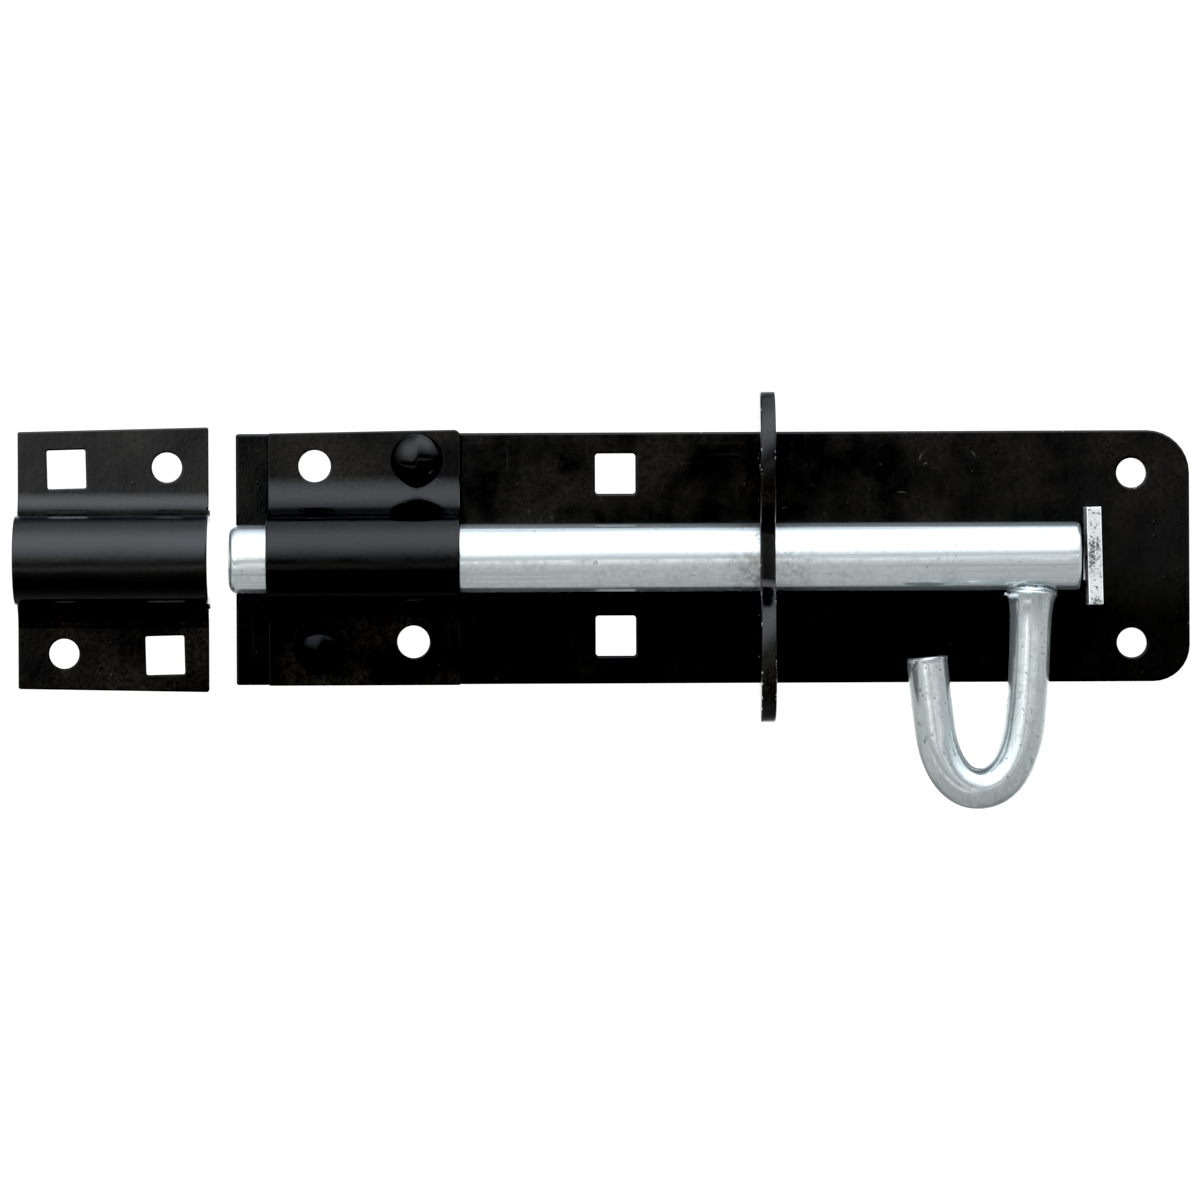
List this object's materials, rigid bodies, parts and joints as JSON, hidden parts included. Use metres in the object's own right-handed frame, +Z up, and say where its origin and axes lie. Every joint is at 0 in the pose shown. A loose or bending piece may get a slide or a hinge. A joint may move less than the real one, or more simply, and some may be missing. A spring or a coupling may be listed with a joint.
{
  "type": "toggle bolt latch",
  "caption": "Padlockable round-bar door bolt: backplate, pressed guide, standing staple with ears, sliding bar with a hook handle, end stop and separate keeper.",
  "frame": {"origin": "centre of the backplate's back face, which lies on the door's face", "axes": "+X along the bolt, away from the keeper; +Y into the door; +Z up, with the handle hanging towards -Z"},
  "size_m": [0.2459, 0.031, 0.0873],
  "materials": {
    "black_paint": "black gloss stoving paint on pressed steel, with light scuffs",
    "bright_zinc": "bright zinc plating over drawn bar, fine streaks along its length",
    "grey_zinc": "zinc plating, a little duller, with sheared ends and a weld at the root"
  },
  "bodies": {
    "mounting": {"backplate": "black_paint", "front_guide": "black_paint", "rivet_upper": "black_paint", "rivet_lower": "black_paint", "staple": "black_paint", "end_stop": "grey_zinc", "keeper": "black_paint"},
    "bolt": {"bolt": "bright_zinc"},
    "handle": {"handle": "grey_zinc"}
  },
  "joints": [
    {"name": "bolt_slide", "type": "slide", "parent": "mounting", "child": "bolt", "axis": [-1, 0, 0], "range_m": [-0.0008, 0.027]},
    {"name": "handle_turn", "type": "hinge", "parent": "bolt", "child": "handle", "pos_m": [0.0666, -0.01065, 0], "axis": [-1, 0, 0], "range_deg": [-6, 186]}
  ]
}
